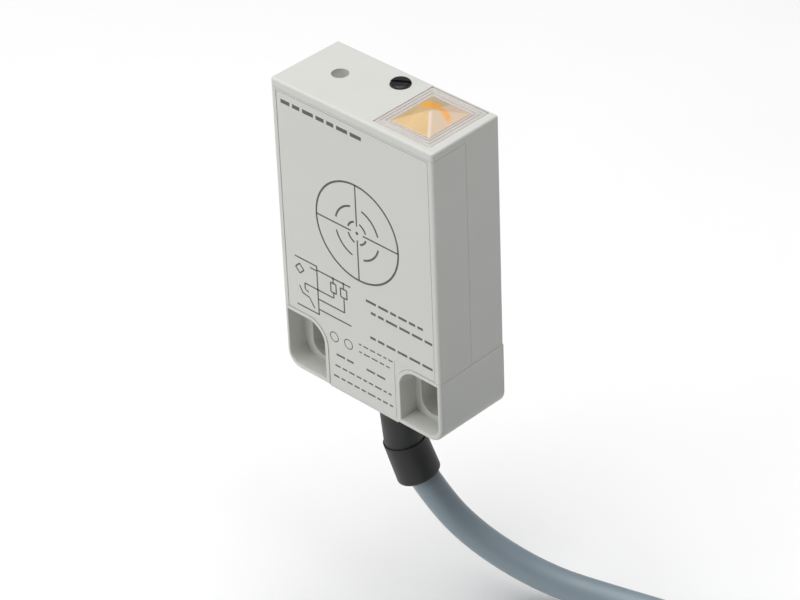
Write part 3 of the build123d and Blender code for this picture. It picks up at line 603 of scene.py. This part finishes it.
corners = [
    (-film["halfX"], film["top"]), (-film["halfX"], film["shoulder"]),
    (-film["footHalfX"], film["shoulder"]), (-film["footHalfX"], film["bottom"]),
    (film["footHalfX"], film["bottom"]), (film["footHalfX"], film["shoulder"]),
    (film["halfX"], film["shoulder"]), (film["halfX"], film["top"]),
]
bm = bmesh.new()
frontPlate(bm, softOutline(corners, film["corner"]), film["back"], film["front"])
filmMat = mouldedPlastic("filmSatin", (0.60, 0.606, 0.575), 0.36, 0.008, 11000, 0.004, Coat_Weight=0.08)
filmSheet = joined("frontFilm", bm, filmMat)
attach(filmSheet, "housing")
print("front film laid")

ink = mouldedPlastic("printInk", (0.082, 0.084, 0.086), 0.5, 0.05, 9000, 0.003)


# a tree whose inputs are named; returns it with a helper that adds linked nodes
def newTree(name, inputs):
    tree = bpy.data.node_groups.new(name, "GeometryNodeTree")
    for socketName, kind, value in inputs:
        socket = tree.interface.new_socket(socketName, in_out="INPUT", socket_type=kind)
        if value is not None:
            socket.default_value = value
    tree.interface.new_socket("Geometry", in_out="OUTPUT", socket_type="NodeSocketGeometry")
    start = tree.nodes.new("NodeGroupInput")
    end = tree.nodes.new("NodeGroupOutput")
    return tree, start, end


def addNode(tree, kind, settings=None, **feeds):
    node = tree.nodes.new(kind)
    for key, value in (settings or {}).items():
        setattr(node, key, value)
    for socketName, value in feeds.items():
        socket = node.inputs[socketName.replace("_", " ")]
        if isinstance(value, bpy.types.NodeSocket):
            tree.links.new(value, socket)
        else:
            socket.default_value = value
    return node


# runs a tree once and keeps the result as a plain mesh
def bakeTree(name, tree, values, mat):
    carrier = bpy.data.objects.new(name + "Carrier", bpy.data.meshes.new(name + "Carrier"))
    bpy.context.scene.collection.objects.link(carrier)
    modifier = carrier.modifiers.new("nodes", "NODES")
    modifier.node_group = tree
    for item in tree.interface.items_tree:
        if item.in_out == "INPUT" and item.name in values:
            modifier[item.identifier] = values[item.name]
        elif item.in_out == "INPUT" and item.name == "Finish":
            modifier[item.identifier] = mat
    depsgraph = bpy.context.evaluated_depsgraph_get()
    mesh = bpy.data.meshes.new_from_object(carrier.evaluated_get(depsgraph), depsgraph=depsgraph)
    carrier.modifiers.remove(modifier)
    bpy.data.objects.remove(carrier)
    mesh.name = name
    if not mesh.materials:
        mesh.materials.append(mat)
    piece = bpy.data.objects.new(name, mesh)
    bpy.context.scene.collection.objects.link(piece)
    return piece


# printed arcs, copied round a centre, facing forward
def arcTree():
    numbers = [("Radius", 1.0), ("Span", 1.0), ("First Angle", 0.0), ("Line Width", 0.1), ("Thickness", 0.1)]
    inputs = [(n, "NodeSocketFloat", v) for n, v in numbers]
    inputs += [("Copies", "NodeSocketInt", 4), ("Centre", "NodeSocketVector", None)]
    inputs += [("Finish", "NodeSocketMaterial", None)]
    tree, start, end = newTree("printedArcs", inputs)
    given = start.outputs
    arc = addNode(
        tree, "GeometryNodeCurveArc", None, Resolution=40, Radius=given["Radius"],
        Start_Angle=given["First Angle"], Sweep_Angle=given["Span"],
    )
    section = addNode(
        tree, "GeometryNodeCurvePrimitiveQuadrilateral", None, Width=given["Line Width"],
        Height=given["Thickness"],
    )
    stroke = addNode(
        tree, "GeometryNodeCurveToMesh", None, Curve=arc.outputs["Curve"],
        Profile_Curve=section.outputs["Curve"], Fill_Caps=True,
    )
    spots = addNode(tree, "GeometryNodeMeshLine", None, Count=given["Copies"], Offset=(0, 0, 0))
    index = addNode(tree, "GeometryNodeInputIndex")
    whole = addNode(tree, "ShaderNodeMath", {"operation": "DIVIDE"})
    whole.inputs[0].default_value = math.tau
    tree.links.new(given["Copies"], whole.inputs[1])
    swing = addNode(tree, "ShaderNodeMath", {"operation": "MULTIPLY"})
    tree.links.new(index.outputs[0], swing.inputs[0])
    tree.links.new(whole.outputs[0], swing.inputs[1])
    about = addNode(tree, "ShaderNodeCombineXYZ", None, Z=swing.outputs[0])
    copies = addNode(
        tree, "GeometryNodeInstanceOnPoints", None, Points=spots.outputs["Mesh"],
        Instance=stroke.outputs["Mesh"], Rotation=about.outputs["Vector"],
    )
    placed = addNode(
        tree, "GeometryNodeTransform", None, Geometry=copies.outputs["Instances"],
        Translation=given["Centre"], Rotation=(math.radians(90), 0, 0),
    )
    real = addNode(tree, "GeometryNodeRealizeInstances", None, Geometry=placed.outputs["Geometry"])
    done = addNode(
        tree, "GeometryNodeSetMaterial", None, Geometry=real.outputs["Geometry"],
        Material=given["Finish"],
    )
    tree.links.new(done.outputs["Geometry"], end.inputs["Geometry"])
    return tree


target = {
    "centre": (0.3, 27.45),
    "surface": -14.948,
    "thickness": 0.02,
    "line": 0.34,
    # radius, first angle, span, copies
    "arcs": {
        "targetOuter": (8.97, 0, 89.9, 4),
        "targetMiddle": (4.75, 15, 60, 4),
        "targetInner": (2.0, 17, 55, 4),
    },
    "crosshair": (1.3, 9.0),
    "dot": 0.3,
}
arcs = arcTree()
cx, cz = target["centre"]
for arcName, (radius, first, sweep, copies) in target["arcs"].items():
    values = {
        "Radius": radius * mm,
        "Span": math.radians(sweep),
        "First Angle": math.radians(first),
        "Line Width": target["line"] * mm,
        "Thickness": target["thickness"] * mm,
        "Copies": copies,
        "Centre": (cx * mm, target["surface"] * mm, cz * mm),
    }
    piece = bakeTree(arcName, arcs, values, ink)
    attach(piece, "housing")


# one flat patch of ink on the film, from its outline in x and z
def inkPatch(bm, outline):
    half = target["thickness"] / 2
    frontPlate(bm, outline, target["surface"] + half, target["surface"] - half)


def inkLine(bm, x0, z0, x1, z1, width):
    along = Vector((x1 - x0, z1 - z0)).normalized()
    side = Vector((-along.y, along.x)) * width / 2
    ends = [Vector((x0, z0)), Vector((x1, z1))]
    outline = [ends[0] + side, ends[0] - side, ends[1] - side, ends[1] + side]
    inkPatch(bm, outline)


def inkDisc(bm, x, z, radius, sides=28):
    angles = [math.tau * i / sides for i in range(sides)]
    outline = [(x + radius * math.cos(a), z + radius * math.sin(a)) for a in angles]
    inkPatch(bm, outline)


bm = bmesh.new()
inner, outer = target["crosshair"]
for ax, az in ((1, 0), (-1, 0), (0, 1), (0, -1)):
    inkLine(bm, cx + ax * inner, cz + az * inner, cx + ax * outer, cz + az * outer, target["line"] * 0.8)
inkDisc(bm, cx, cz, target["dot"])
crosshair = joined("targetCross", bm, ink)
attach(crosshair, "housing")

# a plain wiring sketch: leads, two loads and their junctions, with no lettering
sketch = {
    "line": 0.26,
    "lines": [
        (-14.3, 16.9, -9.25, 16.9), (-9.35, 16.9, -9.35, 7.5), (-14.3, 7.5, -9.25, 7.5),
        (-10.9, 16.0, -9.4, 16.0), (-12.3, 12.35, -12.3, 11.2), (-9.35, 16.2, -1.8, 16.2),
        (-12.3, 11.2, -11.5, 10.9), (-13.6, 11.4, -12.9, 10.2), (-12.9, 10.2, -11.4, 9.9),
        (-11.4, 9.9, -10.3, 8.3),
        (-9.35, 12.35, -12.3, 12.35), (-9.35, 12.35, -5.8, 12.35), (-5.7, 12.35, -5.7, 13.4),
        (-5.7, 15.2, -5.7, 16.2), (-9.35, 10.55, -3.4, 10.55), (-3.4, 10.55, -3.4, 13.4),
        (-3.4, 15.1, -3.4, 16.2), (-9.35, 8.56, -2.0, 8.56),
    ],
    "boxes": [(-6.3, 13.4, -5.1, 15.2), (-4.1, 13.4, -2.7, 15.1)],
    "diamond": (-13.3, 14.8, 0.95),
    "dots": [(-5.7, 16.2, 0.22), (-3.4, 16.2, 0.22), (-9.35, 12.35, 0.22)],
}
bm = bmesh.new()
for x0, z0, x1, z1 in sketch["lines"]:
    inkLine(bm, x0, z0, x1, z1, sketch["line"])
for x0, z0, x1, z1 in sketch["boxes"]:
    for a in ((x0, z0, x1, z0), (x1, z0, x1, z1), (x1, z1, x0, z1), (x0, z1, x0, z0)):
        inkLine(bm, *a, sketch["line"])
dx, dz, r = sketch["diamond"]
rim = [(dx + r, dz), (dx, dz + r), (dx - r, dz), (dx, dz - r)]
for k in range(4):
    inkLine(bm, *rim[k], *rim[(k + 1) % 4], sketch["line"])
for x, z, r in sketch["dots"]:
    inkDisc(bm, x, z, r, 16)
wiring = joined("wiringSketch", bm, ink)
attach(wiring, "housing")

# plain dashes where a rating plate has its rows: from x, to x, height z, dash height
rows = {
    "list": [
        (-15.4, 2.2, 45.6, 1.15), (1.6, 14.8, 15.3, 0.75), (2.6, 16.0, 13.3, 0.75), (2.2, 15.9, 8.4, 0.75),
        (-0.5, 7.0, 5.8, 0.42), (-0.5, 7.0, 4.3, 0.42), (-5.8, -1.6, 1.3, 0.6), (1.0, 5.6, 1.5, 0.6),
        (-6.2, 6.6, -1.0, 0.5), (-6.7, 6.7, -3.2, 0.5),
    ],
    "rings": [(-6.1, 4.6, 0.9), (-2.9, 4.6, 0.9)],
    "ringLine": 0.16,
    "ringSides": 20,
    "gap": 0.35,
    "seed": 4,
}
picker = random.Random(rows["seed"])
bm = bmesh.new()
for x0, x1, z, height in rows["list"]:
    x = x0
    while x < x1 - 0.3:
        reach = min(x1, x + height * picker.uniform(1.2, 3.4))
        inkLine(bm, x, z, reach, z, height * 0.6)
        x = reach + rows["gap"] + height * 0.2
for x, z, r in rows["rings"]:
    angles = [math.tau * k / rows["ringSides"] for k in range(rows["ringSides"] + 1)]
    around = [(x + r * math.cos(a), z + r * math.sin(a)) for a in angles]
    for here, there in zip(around, around[1:]):
        inkLine(bm, *here, *there, rows["ringLine"])
dashes = joined("printedRows", bm, ink)
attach(dashes, "housing")
print("print laid on the film")


# bare strands at the end of each core, slightly twisted
def strandTree():
    numbers = [("Bundle Radius", 0.3), ("Strand Radius", 0.1), ("Length", 5.0), ("Twist", 1.0)]
    inputs = [(n, "NodeSocketFloat", v) for n, v in numbers]
    inputs += [("Strands", "NodeSocketInt", 6), ("Place", "NodeSocketVector", None)]
    inputs += [("Turn", "NodeSocketVector", None), ("Finish", "NodeSocketMaterial", None)]
    tree, start, end = newTree("twistedStrands", inputs)
    given = start.outputs
    ring = addNode(
        tree, "GeometryNodeMeshCircle", None, Vertices=given["Strands"], Radius=given["Bundle Radius"],
    )
    centre = addNode(tree, "GeometryNodeMeshLine", None, Count=1, Offset=(0, 0, 0))
    spots = tree.nodes.new("GeometryNodeJoinGeometry")
    tree.links.new(ring.outputs["Mesh"], spots.inputs["Geometry"])
    tree.links.new(centre.outputs["Mesh"], spots.inputs["Geometry"])
    reach = addNode(tree, "ShaderNodeCombineXYZ", None, Z=given["Length"])
    line = addNode(tree, "GeometryNodeCurvePrimitiveLine", None, End=reach.outputs["Vector"])
    fine = addNode(tree, "GeometryNodeResampleCurve", None, Curve=line.outputs["Curve"], Count=9)
    copies = addNode(
        tree, "GeometryNodeInstanceOnPoints", None, Points=spots.outputs["Geometry"],
        Instance=fine.outputs["Curve"],
    )
    real = addNode(tree, "GeometryNodeRealizeInstances", None, Geometry=copies.outputs["Instances"])
    position = addNode(tree, "GeometryNodeInputPosition")
    parts = addNode(tree, "ShaderNodeSeparateXYZ", None, Vector=position.outputs["Position"])
    share = addNode(tree, "ShaderNodeMath", {"operation": "DIVIDE"})
    tree.links.new(parts.outputs["Z"], share.inputs[0])
    tree.links.new(given["Length"], share.inputs[1])
    swing = addNode(tree, "ShaderNodeMath", {"operation": "MULTIPLY"})
    tree.links.new(share.outputs[0], swing.inputs[0])
    tree.links.new(given["Twist"], swing.inputs[1])
    turned = addNode(
        tree, "ShaderNodeVectorRotate", {"rotation_type": "Z_AXIS"},
        Vector=position.outputs["Position"], Angle=swing.outputs[0],
    )
    moved = addNode(
        tree, "GeometryNodeSetPosition", None, Geometry=real.outputs["Geometry"],
        Position=turned.outputs["Vector"],
    )
    section = addNode(
        tree, "GeometryNodeCurvePrimitiveCircle", None, Resolution=8, Radius=given["Strand Radius"],
    )
    skin = addNode(
        tree, "GeometryNodeCurveToMesh", None, Curve=moved.outputs["Geometry"],
        Profile_Curve=section.outputs["Curve"], Fill_Caps=True,
    )
    placed = addNode(
        tree, "GeometryNodeTransform", None, Geometry=skin.outputs["Mesh"], Translation=given["Place"],
        Rotation=given["Turn"],
    )
    last = addNode(tree, "GeometryNodeRealizeInstances", None, Geometry=placed.outputs["Geometry"])
    done = addNode(
        tree, "GeometryNodeSetMaterial", None, Geometry=last.outputs["Geometry"],
        Material=given["Finish"],
    )
    tree.links.new(done.outputs["Geometry"], end.inputs["Geometry"])
    return tree


cores = {
    "diameter": 1.2,
    "from": (14.2, -46.6, -45.8),
    "inside": 6.0,
    "offset": 0.75,
    "floorZ": -47.8,
    "straight": 3.0,
    "landing": 12.0,
    "share": 0.6,
    "bundle": 0.26,
    "strand": 0.13,
    "bared": 5.0,
    "twist": 2.2,
    "fans": {
        "brown": ((-1, -1), -2.0, -26.0),
        "white": ((-1, 1), 2.5, -27.0),
        "black": ((1, 1), 7.5, -27.0),
        "blue": ((1, -1), 12.0, -25.5),
    },
}
strands = strandTree()
for colour, (corner, fanY, reach) in cores["fans"].items():
    x, y, z = cores["from"]
    offY, offZ = corner[0] * cores["offset"], corner[1] * cores["offset"]
    landed = (x - cores["landing"], y + fanY * cores["share"], cores["floorZ"])
    points = [
        (x + cores["inside"], y + offY, z + offZ),
        (x - cores["straight"], y + offY, z + offZ),
        landed,
        (x + reach, y + fanY, cores["floorZ"]),
    ]
    core = cordCurve("bareCore_" + colour, points, cores["diameter"], finish["core_" + colour], 3, 12)
    heading = (Vector(points[3]) - Vector(points[2])).normalized()
    tip = [v * mm for v in Vector(points[3]) - heading * 0.5]
    values = {
        "Bundle Radius": cores["bundle"] * mm,
        "Strand Radius": cores["strand"] * mm,
        "Length": (cores["bared"] + 0.5) * mm,
        "Twist": cores["twist"],
        "Strands": 6,
        "Place": tip,
        "Turn": tuple(heading.to_track_quat("Z", "Y").to_euler()),
    }
    bare = bakeTree("bareStrands_" + colour, strands, values, finish["copper"])
    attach(bare, "housing")
    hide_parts("wire_tips")
    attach(core, "housing")
    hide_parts("tail_wire_" + colour)
print("cores and strands laid")
